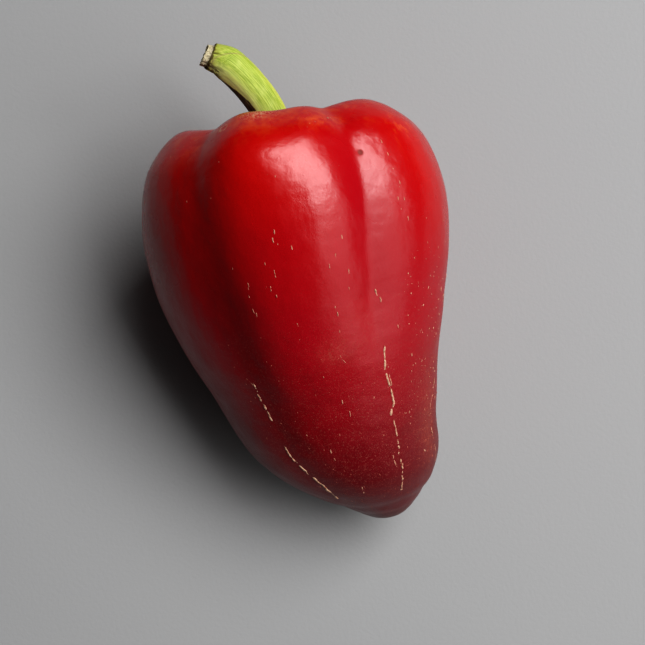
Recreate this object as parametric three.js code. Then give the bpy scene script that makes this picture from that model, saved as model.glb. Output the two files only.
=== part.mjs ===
// A tapered sweet pepper lying on its side, with its calyx and its curved stem.
//
// Units are millimetres and degrees. In the finished part +Z is up, +Y runs along the fruit towards
// its stem, and +X is to the right seen from above. The origin is on the surface that the pepper
// lies on, under the middle of the whole part's bounding box.
//
// Each piece is shaped in the fruit's own frame: +Y is the long axis, 0 at the blossom end, and +Z
// is the side that ends up on top. Angles around the axis start at the top and turn towards +X.

import * as THREE from 'three';

const { degToRad, lerp, smoothstep } = THREE.MathUtils;

// ---- How it lies ----
const TILT = 13.6; // the long axis rises towards the stem, because the fruit tapers
const SHOULDER_LEAN = 0.265; // shear of the stem end, which stands its shoulders upright again
const LEAN_SPAN = [45, 95]; // where along the axis the shear sets in

// ---- Fruit ----
// Half outline [radius, distance from the blossom end] of the fruit before it is lobed: the nub,
// the taper and the shoulder, then over the crest and down into the hollow that holds the stem.
const OUTLINE = [
  [0, 0], [4.5, 0.5], [9, 4], [12, 7], [16, 10.5],
  [21.5, 18], [26, 30], [29, 41.5], [33.5, 55], [37, 68], [38, 80],
  [36, 91], [32, 98], [25, 103], [19, 101.5],
  [14, 96], [11, 90.5], [6, 87.5], [0, 87],
];

// Furrows between the lobes. The angle is the furrow's at the shoulder, and the drift is how far it
// has turned from there in the lower half. The depth is a share of the radius, each flank is the
// angle over which the furrow opens out on that side, and its bottom is rounded over a smaller one.
// The notch is how far it lowers the shoulder's crest, in millimetres. Below its span a furrow keeps
// only the share called least.
const FURROWS = [
  {
    angle: 27.5, drift: -4.5, flanks: [16, 23], bottom: 2.5,
    depth: 0.1, notch: 1.8, span: [39, 67], least: 0,
  },
  {
    angle: -36, drift: 5, flanks: [18, 12], bottom: 4,
    depth: 0.042, notch: 1.8, span: [30, 95], least: 0.5,
  },
  {
    angle: 99, drift: 0, flanks: [16, 16], bottom: 3,
    depth: 0.07, notch: 3, span: [10, 70], least: 0.15,
  },
  {
    angle: -110, drift: 0, flanks: [15, 15], bottom: 5,
    depth: 0.04, notch: 3, span: [10, 70], least: 0.3,
  },
  {
    angle: 180, drift: 0, flanks: [20, 20], bottom: 8,
    depth: 0.11, notch: 3.4, span: [10, 70], least: 0.25,
  },
];
const DRIFT_SPAN = [52, 92]; // where along the axis the furrows turn
// How much higher the crest stands on some lobes, or lower, and over what angle either side.
const RISES = [
  { angle: -75, rise: 2.6, width: 26 },
  { angle: -10, rise: 1.3, width: 25 },
  { angle: -1, rise: -1.5, width: 14 },
  { angle: 56, rise: 0.6, width: 20 },
];
// Where the skin swells or sinks: the place is an angle and a share of the outline's length, and
// the width and the length say how far the swell reaches around and along.
const SWELLS = [
  { angle: -16, share: 0.68, rise: 1.5, width: 14, length: 0.06 },
  { angle: 56, share: 0.58, rise: 0.7, width: 20, length: 0.17 },
  { angle: -85, share: 0.5, rise: 1, width: 30, length: 0.2 },
  { angle: 85, share: 0.5, rise: -0.5, width: 30, length: 0.2 },
];
const CREST_SPAN = [80, 103]; // where along the axis the notches and the rises set in
const TIP_OFFSET = 7; // the blossom end sits this far to +X of the axis
const TIP_LENGTH = 28; // and comes back to the axis over this length
const BOW = 0.8; // between its ends the fruit bows this far to -X
const BOW_SPAN = [15, 40, 50, 80]; // where the bow sets in, is full and fades out again

// ---- Calyx: the thin green star that lies in the hollow ----
const CLEARANCE = 0.4; // gap between neighbouring pieces
const CALYX_REACH = 12.6; // from its middle to the bays of its edge, along the hollow's wall
const CALYX_TOOTH = 2.2; // and this much further to its points
const CALYX_TEETH = 5;
const CALYX_THICK = 2;
const CALYX_EDGE = 0.7; // thickness at the edge
const CALYX_FLAT = 0.3; // share of its reach that has the full thickness

// ---- Stem ----
const STEM_FOOT = 5.2; // radius where it stands on the calyx
const STEM_WAIST = 4.1;
const STEM_END = 3.2;
const STEM_FLARE = 20; // length over which the foot narrows
const STEM_CAP = 5; // length over which the cut end narrows
const STEM_RIBS = 5;
const STEM_RIB_DEPTH = 0.06; // share of the radius
const PLUG_RADIUS = 2.8; // dry core that stands out of the cut end
const PLUG_LENGTH = 2.2;
const PLUG_TAPER = 0.94;
const PLUG_DISH = 0.4; // how deep the core's face is hollowed
// Middle line, from the foot: across, along the axis and up.
const STEM_LINE = [
  [0, 0, 0], [0, 7, -1.5], [-1, 14, -1.5],
  [-3, 21, -1], [-8, 29.5, -0.5], [-12.5, 33, 0],
];

// ---- Fineness of the meshes ----
const OUTLINE_SAMPLES = 2000;
const FRUIT_COLUMNS = 56;
const OUTER_ROWS = 40;
const HOLLOW_ROWS = 14;
const CALYX_COLUMNS = 40;
const CALYX_ROWS = 8;
const STEM_COLUMNS = 20;
const STEM_FOOT_ROWS = 3;
const STEM_ROWS = 16;

const outline = new THREE.SplineCurve(OUTLINE.map(([radius, along]) => new THREE.Vector2(radius, along)));
outline.arcLengthDivisions = OUTLINE_SAMPLES;
const outlineLength = outline.getLength();
const crestShare = shareOfCrest();
const FOOT_HEIGHT = CLEARANCE + CALYX_THICK + CLEARANCE; // of the stem, off the hollow's floor

/** Share of the outline's length at which it is furthest from the blossom end. */
function shareOfCrest() {
  const shares = Array.from({ length: OUTLINE_SAMPLES + 1 }, (_, i) => i / OUTLINE_SAMPLES);
  const along = shares.map((share) => outline.getPointAt(share).y);
  return shares[along.indexOf(Math.max(...along))];
}

/** Distance between two angles, for a circle of radius 1. */
function chord(angle, degrees) {
  return 2 * Math.abs(Math.sin((angle - degToRad(degrees)) / 2));
}

/** How fully a place on the skin is in a furrow: 1 on its middle line. */
function inFurrow(furrow, angle, along) {
  const middle = furrow.angle + furrow.drift * (1 - smoothstep(along, ...DRIFT_SPAN));
  const flank = furrow.flanks[Math.sin(angle - degToRad(middle)) > 0 ? 1 : 0];
  const bottom = degToRad(furrow.bottom);
  return Math.exp((bottom - Math.hypot(chord(angle, middle), bottom)) / degToRad(flank));
}

/** Point of the fruit's skin, at an angle and a share of the outline's length. */
function fruitPoint(angle, share) {
  const { x: radius, y: along } = outline.getPointAt(share);
  const outer = share < crestShare;

  let lobedRadius = radius;
  let crest = 0;
  FURROWS.forEach((furrow) => {
    const full = outer ? lerp(furrow.least, 1, smoothstep(along, ...furrow.span)) : 1;
    const within = inFurrow(furrow, angle, along);
    lobedRadius -= radius * furrow.depth * full * within;
    crest -= furrow.notch * within;
  });
  RISES.forEach(({ angle: middle, rise, width }) => {
    crest += rise * Math.exp(-((chord(angle, middle) / degToRad(width)) ** 2));
  });
  SWELLS.forEach((swell) => {
    const around = chord(angle, swell.angle) / degToRad(swell.width);
    const onwards = (share - swell.share) / swell.length;
    lobedRadius += swell.rise * Math.exp(-(around ** 2) - onwards ** 2);
  });

  const atCrest = outer ? smoothstep(along, ...CREST_SPAN) : 1 - smoothstep(share, crestShare, 1);
  const up = lobedRadius * Math.cos(angle);
  const lean = SHOULDER_LEAN * up * smoothstep(along, ...LEAN_SPAN);
  const bow = smoothstep(along, BOW_SPAN[0], BOW_SPAN[1]) * (1 - smoothstep(along, BOW_SPAN[2], BOW_SPAN[3]));
  const offset = TIP_OFFSET * (1 - smoothstep(along, 0, TIP_LENGTH)) - BOW * bow;

  return new THREE.Vector3(
    lobedRadius * Math.sin(angle) + offset,
    along + atCrest * crest + lean,
    up,
  );
}

/** Direction straight out of the fruit's skin, in the hollow. */
function hollowNormal(angle, share) {
  const step = 0.001;
  const inside = Math.min(share, 1 - 2 * step);
  const around = fruitPoint(angle + step, inside).sub(fruitPoint(angle - step, inside));
  const inwards = fruitPoint(angle, inside + step).sub(fruitPoint(angle, inside - step));
  return around.cross(inwards).normalize();
}

/** Point above the hollow's wall: reach from its middle along the wall, and height off it. */
function hollowPoint(angle, reach, height) {
  const share = 1 - reach / outlineLength;
  return fruitPoint(angle, share).addScaledVector(hollowNormal(angle, share), height);
}

/** Shares from 0 to 1 that lie closer together at both ends. */
function easedShares(count) {
  return Array.from({ length: count + 1 }, (_, i) => {
    const even = i / count;
    return (even + (1 - Math.cos(Math.PI * even)) / 2) / 2;
  });
}

/** Closed skin from one pole to the other: pointAt(row, angle) gives each point. */
function closedSkin(rows, columns, pointAt) {
  const points = [pointAt(0, 0)];
  for (let row = 1; row < rows; row += 1) {
    for (let column = 0; column < columns; column += 1) {
      points.push(pointAt(row, (2 * Math.PI * column) / columns));
    }
  }
  points.push(pointAt(rows, 0));

  const lastPole = points.length - 1;
  const indexOf = (row, column) => 1 + (row - 1) * columns + (column % columns);
  const faces = [];
  for (let column = 0; column < columns; column += 1) {
    faces.push(0, indexOf(1, column + 1), indexOf(1, column));
    for (let row = 1; row < rows - 1; row += 1) {
      const corner = indexOf(row, column);
      const opposite = indexOf(row + 1, column + 1);
      faces.push(corner, indexOf(row, column + 1), opposite);
      faces.push(corner, opposite, indexOf(row + 1, column));
    }
    faces.push(indexOf(rows - 1, column), indexOf(rows - 1, column + 1), lastPole);
  }

  const geometry = new THREE.BufferGeometry().setFromPoints(points);
  geometry.setIndex(faces);
  geometry.computeVertexNormals();
  return geometry;
}

function fruitGeometry() {
  const shares = [
    ...easedShares(OUTER_ROWS).map((share) => share * crestShare),
    ...easedShares(HOLLOW_ROWS).slice(1).map((share) => lerp(crestShare, 1, share)),
  ];
  return closedSkin(shares.length - 1, FRUIT_COLUMNS, (row, angle) => fruitPoint(angle, shares[row]));
}

/** How far the calyx reaches along the hollow's wall: five points with rounded bays between. */
function calyxReach(angle) {
  return CALYX_REACH + CALYX_TOOTH * (1 - Math.abs(Math.sin((CALYX_TEETH * angle) / 2)));
}

function calyxGeometry() {
  return closedSkin(2 * CALYX_ROWS + 1, CALYX_COLUMNS, (row, angle) => {
    const onTop = row > CALYX_ROWS;
    const share = onTop ? (2 * CALYX_ROWS + 1 - row) / CALYX_ROWS : row / CALYX_ROWS;
    const thickness = lerp(CALYX_THICK, CALYX_EDGE, smoothstep(share, CALYX_FLAT, 1));
    return hollowPoint(angle, share * calyxReach(angle), CLEARANCE + (onTop ? thickness : 0));
  });
}

/** Places along the stem's middle line, each with the directions along, up and across there. */
function stemStations() {
  const foot = hollowPoint(0, 0, FOOT_HEIGHT);
  const line = new THREE.CatmullRomCurve3(STEM_LINE.map((place) => new THREE.Vector3(...place).add(foot)));

  let along = hollowNormal(0, 1);
  let up = hollowPoint(0, STEM_FOOT, FOOT_HEIGHT).sub(foot).normalize();
  return Array.from({ length: STEM_ROWS + 1 }, (_, i) => {
    const next = line.getTangentAt(i / STEM_ROWS);
    up = up.clone().applyQuaternion(new THREE.Quaternion().setFromUnitVectors(along, next));
    along = next;
    return {
      middle: line.getPointAt(i / STEM_ROWS),
      distance: (i / STEM_ROWS) * line.getLength(),
      along,
      up,
      across: along.clone().cross(up),
    };
  });
}

/** Radius of the stem at a distance from its foot, before its ribs. */
function stemRadius(distance, length) {
  const narrowed = lerp(STEM_FOOT, STEM_WAIST, smoothstep(distance, 0, STEM_FLARE));
  return narrowed + (STEM_END - STEM_WAIST) * smoothstep(distance, length - STEM_CAP, length);
}

function stemGeometry() {
  const stations = stemStations();
  const last = stations[STEM_ROWS];
  const plugRings = [
    { radius: PLUG_RADIUS, out: 0 },
    { radius: PLUG_RADIUS * PLUG_TAPER, out: PLUG_LENGTH },
    { radius: 0, out: PLUG_LENGTH - PLUG_DISH },
  ];
  const ribbed = (angle) => 1 + STEM_RIB_DEPTH * Math.cos(STEM_RIBS * angle);
  const ring = (station, radius, angle, out = 0) => station.middle.clone()
    .addScaledVector(station.across, radius * Math.sin(angle))
    .addScaledVector(station.up, radius * Math.cos(angle))
    .addScaledVector(station.along, out);

  return closedSkin(STEM_FOOT_ROWS + STEM_ROWS + plugRings.length, STEM_COLUMNS, (row, angle) => {
    const step = row - STEM_FOOT_ROWS;
    if (step <= 0) {
      return hollowPoint(angle, (STEM_FOOT * row) / STEM_FOOT_ROWS, FOOT_HEIGHT);
    }
    if (step > STEM_ROWS) {
      const { radius, out } = plugRings[step - STEM_ROWS - 1];
      return ring(last, radius, angle, out);
    }
    const station = stations[step];
    return ring(station, stemRadius(station.distance, last.distance) * ribbed(angle), angle);
  });
}

function piece(name, geometry, colour, roughness) {
  const material = new THREE.MeshStandardMaterial({ color: colour, roughness, metalness: 0 });
  const mesh = new THREE.Mesh(geometry, material);
  mesh.name = name;
  return mesh;
}

const lying = new THREE.Group();
lying.rotation.x = degToRad(TILT);
lying.add(
  piece('fruit', fruitGeometry(), 0xa80a10, 0.32),
  piece('calyx', calyxGeometry(), 0x6f8f2e, 0.6),
  piece('stem', stemGeometry(), 0xa9c04a, 0.55),
);

const pepper = new THREE.Group();
pepper.add(lying);
pepper.updateMatrixWorld(true);
const box = new THREE.Box3().setFromObject(pepper, true);
const middle = box.getCenter(new THREE.Vector3());
pepper.position.set(-middle.x, -middle.y, -box.min.z);
pepper.updateMatrixWorld(true);

export default pepper;
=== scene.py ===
"""A tapered sweet pepper that lies on its side: the fruit, the calyx in its hollow, its curved stem
and the marks on its skin, with a stage to see them on.

Every piece is shaped in the fruit's own frame, in millimetres, as the solids are. There +Y is the
long axis, 0 at the blossom end, and +Z is the side that ends up on top. Angles around the axis start
at the top and turn towards +X. A place on the skin is an angle and a share of the outline's length,
from 0 at the blossom end to 1 in the middle of the hollow. Each finished mesh is then laid down in
the frame of the solids, in metres.
"""

from math import cos, pi, radians, sin

import bpy
import numpy as np
from bpy.props import FloatProperty, FloatVectorProperty, IntProperty, PointerProperty
from mathutils import Matrix, Vector


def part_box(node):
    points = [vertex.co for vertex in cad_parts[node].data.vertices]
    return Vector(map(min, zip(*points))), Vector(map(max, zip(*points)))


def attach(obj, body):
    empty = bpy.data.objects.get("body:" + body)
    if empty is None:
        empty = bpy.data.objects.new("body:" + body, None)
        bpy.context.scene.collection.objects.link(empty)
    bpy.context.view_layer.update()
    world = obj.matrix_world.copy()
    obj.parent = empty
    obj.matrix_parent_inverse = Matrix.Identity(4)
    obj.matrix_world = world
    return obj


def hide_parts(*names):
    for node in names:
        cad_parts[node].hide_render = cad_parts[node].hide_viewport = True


bl_info = {
    "name": "Sweet Pepper",
    "version": (1, 0, 0),
    "blender": (4, 5, 0),
    "location": "3D View > Sidebar > Pepper",
    "description": "Makes a tapered sweet pepper with its calyx, stem and skin marks",
    "category": "Add Mesh",
}

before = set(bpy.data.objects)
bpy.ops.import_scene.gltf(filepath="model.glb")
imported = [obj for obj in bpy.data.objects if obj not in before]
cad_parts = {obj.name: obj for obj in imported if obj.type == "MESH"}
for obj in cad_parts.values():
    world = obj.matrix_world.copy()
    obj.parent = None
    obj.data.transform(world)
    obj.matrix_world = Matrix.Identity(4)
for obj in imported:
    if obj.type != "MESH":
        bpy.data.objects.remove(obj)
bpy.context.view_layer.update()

MM = 0.001

# ---- The fruit's shape ----
# Half outline [radius, distance from the blossom end]: the nub, the taper and the shoulder, then
# over the crest and down into the hollow.
OUTLINE = [
    (0, 0), (4.5, 0.5), (9, 4), (12, 7), (16, 10.5),
    (21.5, 18), (26, 30), (29, 41.5), (33.5, 55), (37, 68), (38, 80),
    (36, 91), (32, 98), (25, 103), (19, 101.5),
    (14, 96), (11, 90.5), (6, 87.5), (0, 87),
]
# Furrows: angle at the shoulder and how far it drifts from there to the middle of the fruit, depth as
# a share of the radius, widths of its two flanks and rounding of its bottom in degrees, notch in the
# crest, where along the axis it deepens, and the least share of it that is left below that.
FURROWS = [
    (27.5, -4.5, 0.1, (16, 23), 2.5, 1.8, (39, 67), 0),
    (-36, 5, 0.042, (18, 12), 4, 1.8, (30, 95), 0.5),
    (99, 0, 0.07, (16, 16), 3, 3, (10, 70), 0.15),
    (-110, 0, 0.04, (15, 15), 5, 3, (10, 70), 0.3),
    (180, 0, 0.11, (20, 20), 8, 3.4, (10, 70), 0.25),
]
DRIFT_SPAN = (52, 92)
# Rises of the shoulder's crest: angle, rise and width in degrees.
RISES = [(-75, 2.6, 26), (-10, 1.3, 25), (-1, -1.5, 14), (56, 0.6, 20)]
CREST_SPAN = (80, 103)
# Swells of the skin: angle, share of the outline's length, rise, width, and length as a share. The
# last two are shallow ones that the solids leave out.
SWELLS = [
    (-16, 0.68, 1.5, 14, 0.06), (56, 0.58, 0.7, 20, 0.17), (-85, 0.5, 1, 30, 0.2),
    (85, 0.5, -0.5, 30, 0.2), (52, 0.66, 0.5, 12, 0.1), (17, 0.7, -0.3, 8, 0.035),
]
LEAN_SPAN = (45, 95)
TIP_LENGTH = 28
BOW_SPAN = (15, 40, 50, 80)  # where the bow sets in, is full and fades out again
CURVE_STEPS = 40  # steps between two points of a smooth curve
SLOPE_STEP = 0.0015  # over which the skin's slope is measured, in radians and as a share
OUTER_ROWS = 0.74  # share of the fruit's rows that lie outside the hollow

# ---- Calyx and stem ----
CLEARANCE = 0.4
CALYX_TOOTH = 2.2
CALYX_THICK = 2
CALYX_EDGE = 0.7
CALYX_FLAT = 0.3  # share of its reach that has the full thickness
STEM_FOOT = 5.2  # radius of the stem where it stands on the calyx
STEM_WAIST = 4.1
STEM_END = 3.2
STEM_FLARE = 20  # length over which the foot narrows
STEM_CAP = 5  # length over which the cut end narrows
CORE_RADIUS = 2.8
# Cracks at the stem's end: angle, reach from the end, and width in degrees.
STEM_CRACKS = [(-96, 6.4, 5), (-70, 3.6, 3.5), (-126, 5, 4), (158, 3.8, 4), (20, 2.4, 3)]
FOOT_HEIGHT = CLEARANCE + CALYX_THICK + CLEARANCE
STEM_LINE = [(0, 0, 0), (0, 7, -1.5), (-1, 14, -1.5), (-3, 21, -1), (-8, 29.5, -0.5), (-12.5, 33, 0)]


def outline_measures():
    """Length of the outline, and the share of it at which the crest lies."""
    ends = np.array([OUTLINE[0], *OUTLINE, OUTLINE[-1]], float)
    t = np.linspace(0, 1, 200, endpoint=False)[:, None]
    line = [
        (2 * b + (c - a) * t + (2 * a - 5 * b + 4 * c - d) * t**2 + (3 * b - a - 3 * c + d) * t**3) / 2
        for a, b, c, d in zip(ends, ends[1:], ends[2:], ends[3:])
    ]
    line = np.concatenate([*line, ends[-1:]])
    lengths = np.concatenate([[0], np.cumsum(np.linalg.norm(np.diff(line, axis=0), axis=1))])
    return float(lengths[-1]), float(lengths[line[:, 1].argmax()] / lengths[-1])


SKIN_LENGTH, CREST_SHARE = outline_measures()


# ---- Node trees ----

class Socket:
    """A node's output that takes part in Python expressions, which add the maths nodes they need."""

    def __init__(self, nodes, output):
        self.nodes = nodes
        self.output = output

    def __getitem__(self, name):
        """Another output of the same node."""
        return Socket(self.nodes, self.output.node.outputs[name])

    def __add__(self, other):
        return self.nodes.maths("ADD", self, other)

    __radd__ = __add__

    def __sub__(self, other):
        return self.nodes.maths("SUBTRACT", self, other)

    def __rsub__(self, other):
        return self.nodes.maths("SUBTRACT", other, self)

    def __mul__(self, other):
        return self.nodes.maths("MULTIPLY", self, other)

    __rmul__ = __mul__

    def __truediv__(self, other):
        return self.nodes.maths("DIVIDE", self, other)

    def __rtruediv__(self, other):
        return self.nodes.maths("DIVIDE", other, self)

    def __pow__(self, other):
        return self.nodes.maths("POWER", self, other)

    def __neg__(self):
        return self * -1


class Nodes:
    """A node tree that is being built."""

    def __init__(self, tree):
        self.tree = tree

    def node(self, kind, settings=None, sockets=None, output=0):
        """Adds a node: its settings first, then a value or a link for each socket, by its key."""
        made = self.tree.nodes.new(kind)
        for name, value in (settings or {}).items():
            setattr(made, name, value)
        for key, value in (sockets or {}).items():
            socket = made.inputs[key]
            if isinstance(value, Socket):
                self.tree.links.new(value.output, socket)
            elif socket.type == "VECTOR" and isinstance(value, (int, float)):
                socket.default_value = (value,) * 3
            elif socket.type == "INT":
                socket.default_value = int(value)
            else:
                socket.default_value = value
        return Socket(self, made.outputs[output]) if made.outputs else made

    def maths(self, operation, *terms):
        """Works on values, or on vectors and colours where one takes part."""
        types = {term.output.type for term in terms if isinstance(term, Socket)}
        kind = "ShaderNodeVectorMath" if types & {"VECTOR", "RGBA"} else "ShaderNodeMath"
        return self.node(kind, {"operation": operation}, dict(enumerate(terms)))

    def smooth(self, value, start, end, low=0, high=1):
        """Eases from low to high while the value goes from start to end."""
        return self.node("ShaderNodeMapRange", {"interpolation_type": "SMOOTHSTEP"}, {
            "Value": value, "From Min": start, "From Max": end, "To Min": low, "To Max": high})

    def vector(self, x, y, z):
        return self.node("ShaderNodeCombineXYZ", None, {0: x, 1: y, 2: z})

    def parts(self, vector):
        split = self.node("ShaderNodeSeparateXYZ", None, {0: vector})
        return split["X"], split["Y"], split["Z"]

    def noise(self, place, scale, detail=2, roughness=0.5):
        """Noise from 0 to 1 that varies about the middle."""
        return self.node("ShaderNodeTexNoise", None, {
            "Vector": place, "Scale": scale, "Detail": detail, "Roughness": roughness})["Fac"]

    def swing(self, place, scale, detail=2, roughness=0.5):
        """Noise from about -1 to 1."""
        return self.noise(place, scale, detail, roughness) * 2 - 1

    def blend(self, factor, low, high):
        """Colour that goes from low to high with the factor."""
        return self.node("ShaderNodeMix", {"data_type": "RGBA"}, {0: factor, 6: low, 7: high}, 2)


class GeometryTree(Nodes):
    """A Geometry Nodes tree with named inputs."""

    def __init__(self, name, inputs, outputs=(("Geometry", "Geometry"),)):
        super().__init__(bpy.data.node_groups.new(name, "GeometryNodeTree"))
        for label, kind, *value in inputs:
            socket = self.new_socket(label, kind, "INPUT")
            if value:
                socket.default_value = value[0]
        for label, kind in outputs:
            self.new_socket(label, kind, "OUTPUT")
        self.given = self.node("NodeGroupInput")

    def new_socket(self, label, kind, side):
        return self.tree.interface.new_socket(label, in_out=side, socket_type="NodeSocket" + kind)

    def end(self, **outputs):
        self.node("NodeGroupOutput", None, outputs)
        return self.tree

    def group(self, tree, **sockets):
        return self.node("GeometryNodeGroup", {"node_tree": tree},
                         {name.replace("_", " "): value for name, value in sockets.items()})

    def ball(self):
        """Closed skin to be shaped: its mesh, the angle around, and the progress from pole to pole."""
        columns, rows = self.given["Columns"], self.given["Rows"]
        mesh = self.node("GeometryNodeMeshUVSphere", None, {
            "Segments": columns, "Rings": rows, "Radius": 1})
        across, up, _ = self.parts(self.node("GeometryNodeInputPosition"))
        index = self.node("GeometryNodeInputIndex")
        row = self.maths("FLOOR", (index - 1) / columns) + 1
        return mesh, self.maths("ARCTAN2", across, up), row / rows

    def directions(self, angle):
        """How far an angle goes across, and how far up."""
        return self.maths("SINE", angle), self.maths("COSINE", angle)

    def clamp(self, value):
        return self.node("ShaderNodeClamp", None, {0: value})

    def shake(self, place, scale, detail):
        """Noise of its own in each direction, from about -0.5 to 0.5."""
        return self.noise(place, scale, detail)["Color"] - 0.5

    def first_apart(self, lines):
        """The first of the host's lines, and the others."""
        index = self.node("GeometryNodeInputIndex")
        first = self.node("FunctionNodeCompare", {"data_type": "INT", "operation": "EQUAL"}, {
            2: index, 3: 0})
        split = self.node("GeometryNodeSeparateGeometry", {"domain": "CURVE"},
                          {"Geometry": lines, "Selection": first})
        return split["Selection"], split["Inverted"]

    def curved(self, line):
        """The line as a smooth curve through its points."""
        smooth = self.node("GeometryNodeCurveSplineType", {"spline_type": "CATMULL_ROM"}, {
            "Curve": line})
        return self.node("GeometryNodeSetSplineResolution", None,
                         {"Geometry": smooth, "Resolution": CURVE_STEPS})

    def on_curve(self, curve, factor):
        return self.node("GeometryNodeSampleCurve", {"mode": "FACTOR", "use_all_curves": True},
                         {"Curves": curve, "Factor": factor})

    def moved(self, geometry, place):
        return self.node("GeometryNodeSetPosition", None, {"Geometry": geometry, "Position": place})

    def keep(self, geometry, **values):
        """Stores values on every point, for the material or for later."""
        for name, value in values.items():
            kind = "FLOAT_VECTOR" if value.output.type == "VECTOR" else "FLOAT"
            settings = {"data_type": kind, "domain": "POINT"}
            geometry = self.node("GeometryNodeStoreNamedAttribute", settings, {
                "Geometry": geometry, "Name": name, "Value": value})
        return geometry

    def recall(self, name, kind="FLOAT"):
        """A value that was stored on every point."""
        return self.node("GeometryNodeInputNamedAttribute", {"data_type": kind}, {"Name": name})

    def finished(self, geometry):
        """Smooth, real and with its material."""
        smooth = self.node("GeometryNodeSetShadeSmooth", None, {"Geometry": geometry})
        real = self.node("GeometryNodeRealizeInstances", None, {"Geometry": smooth})
        painted = self.node("GeometryNodeSetMaterial", None,
                            {"Geometry": real, "Material": self.given["Material"]})
        return self.end(Geometry=painted)


# ---- The skin as a rule that every piece shares ----

def skin_tree(sizes):
    """Group: the point of the fruit's skin at an angle and a share of the outline's length."""
    tree = GeometryTree("Pepper skin", [
        ("Outline", "Geometry"), ("Angle", "Float"), ("Share", "Float"),
        ("Furrows", "Float", sizes.furrows), ("Lean", "Float", sizes.lean),
        ("Tip Offset", "Float", sizes.tip_offset / MM), ("Bow", "Float", sizes.bow / MM),
        ("Unevenness", "Float", sizes.unevenness / MM),
    ], [("Point", "Vector"), ("Smooth Point", "Vector")])
    given = tree.given
    angle, share = given["Angle"], given["Share"]

    radius, along, _ = tree.parts(tree.on_curve(tree.curved(given["Outline"]), share)["Position"])
    hollow = tree.maths("GREATER_THAN", share, CREST_SHARE)
    side, up = tree.directions(angle)

    def bump(middle, width, length_term=0):
        chord = tree.maths("SINE", (angle - radians(middle)) / 2) * 2
        return tree.maths("EXPONENT", -((chord / radians(width)) ** 2 + length_term))

    cut, crest = 0, 0
    for middle, drift, depth, (before, after), bottom, notch, span, least in FURROWS:
        rounding = radians(bottom)
        turned = angle - tree.smooth(along, *DRIFT_SPAN, radians(middle + drift), radians(middle))
        reach = tree.maths("SQRT", 2 - 2 * tree.maths("COSINE", turned) + rounding**2)
        after_it = tree.maths("GREATER_THAN", tree.maths("SINE", turned), 0)
        flank = radians(before) + after_it * radians(after - before)
        within = tree.maths("EXPONENT", (rounding - reach) / flank)
        full = tree.maths("MAXIMUM", tree.smooth(along, *span, least, 1), hollow)
        cut = within * full * depth + cut
        crest = crest - within * notch
    for middle, rise, width in RISES:
        crest = crest + bump(middle, width) * rise

    smooth_point = tree.vector(radius * side, along, radius * up)
    lengthwise = tree.vector(radius * side, along * 0.55, radius * up)
    uneven = tree.swing(smooth_point, 0.045, 1) + 0.5 * tree.swing(lengthwise, 0.17, 2)
    uneven = uneven * given["Unevenness"] * tree.smooth(radius, 0, 8)
    lobed = radius * (1 - cut * given["Furrows"]) + uneven
    for middle, level, rise, width, length in SWELLS:
        lobed = lobed + bump(middle, width, ((share - level) / length) ** 2) * rise
    outside = tree.smooth(along, *CREST_SPAN) * (1 - hollow)
    inside = tree.smooth(share, CREST_SHARE, 1, 1, 0) * hollow
    height = lobed * up
    lean = given["Lean"] * height * tree.smooth(along, *LEAN_SPAN)
    bow = tree.smooth(along, *BOW_SPAN[:2]) * tree.smooth(along, *BOW_SPAN[2:], 1, 0)
    offset = given["Tip Offset"] * tree.smooth(along, 0, TIP_LENGTH, 1, 0) - given["Bow"] * bow
    point = tree.vector(lobed * side + offset, along + (outside + inside) * crest + lean, height)
    return tree.end(**{"Point": point, "Smooth Point": smooth_point})


def standing_tree(skin):
    """Group: a place at a height off the skin, and the direction straight out of it there."""
    tree = GeometryTree("Off the skin", [
        ("Outline", "Geometry"), ("Angle", "Float"), ("Share", "Float"), ("Height", "Float")],
        [("Point", "Vector"), ("Out", "Vector")])
    given = tree.given
    step = SLOPE_STEP
    share = tree.maths("MINIMUM", given["Share"], 1 - 2 * step)
    share = tree.maths("MAXIMUM", share, 2 * step)

    def at(angle, share):
        return tree.group(skin, Outline=given["Outline"], Angle=angle, Share=share)

    around = at(given["Angle"] + step, share) - at(given["Angle"] - step, share)
    onwards = at(given["Angle"], share + step) - at(given["Angle"], share - step)
    out = tree.maths("NORMALIZE", tree.maths("CROSS_PRODUCT", around, onwards))
    point = at(given["Angle"], given["Share"]) + out * given["Height"]
    return tree.end(Point=point, Out=out)


def shared_tree(name, make, *needed):
    """A node group that several pieces use, made by the first of them."""
    return bpy.data.node_groups.get(name) or make(*needed)


def skin_groups(sizes):
    skin = shared_tree("Pepper skin", skin_tree, sizes)
    return skin, shared_tree("Off the skin", standing_tree, skin)


# ---- From a tree to a finished piece ----

def host_curve(name, *lines):
    """Curve object that a tree starts from, with one spline for each line of points."""
    curve = bpy.data.curves.new(name, "CURVE")
    curve.dimensions = "3D"
    for line in lines:
        spline = curve.splines.new("POLY")
        spline.points.add(len(line) - 1)
        for point, place in zip(spline.points, line):
            point.co = (*place, 0, 1) if len(place) == 2 else (*place, 1)
    made = bpy.data.objects.new(name, curve)
    bpy.context.scene.collection.objects.link(made)
    return made


def grown(host, tree, name, **values):
    """Runs a tree on its host object, and puts the result in its place as a plain mesh object."""
    modifier = host.modifiers.new("Shape", "NODES")
    modifier.node_group = tree
    for item in tree.interface.items_tree:
        key = item.name.replace(" ", "_")
        if item.in_out == "INPUT" and key in values:
            modifier[item.identifier] = values[key]
    made = bpy.data.objects.new(name, plain_mesh(host, name))
    host.modifiers.remove(modifier)
    bpy.data.objects.remove(host)
    bpy.context.scene.collection.objects.link(made)
    return made


def plain_mesh(host, name):
    bpy.context.view_layer.update()
    graph = bpy.context.evaluated_depsgraph_get()
    mesh = bpy.data.meshes.new_from_object(host.evaluated_get(graph), depsgraph=graph)
    mesh.name = name
    if not mesh.polygons:
        raise RuntimeError(f"{name} came out empty")
    return mesh


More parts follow.
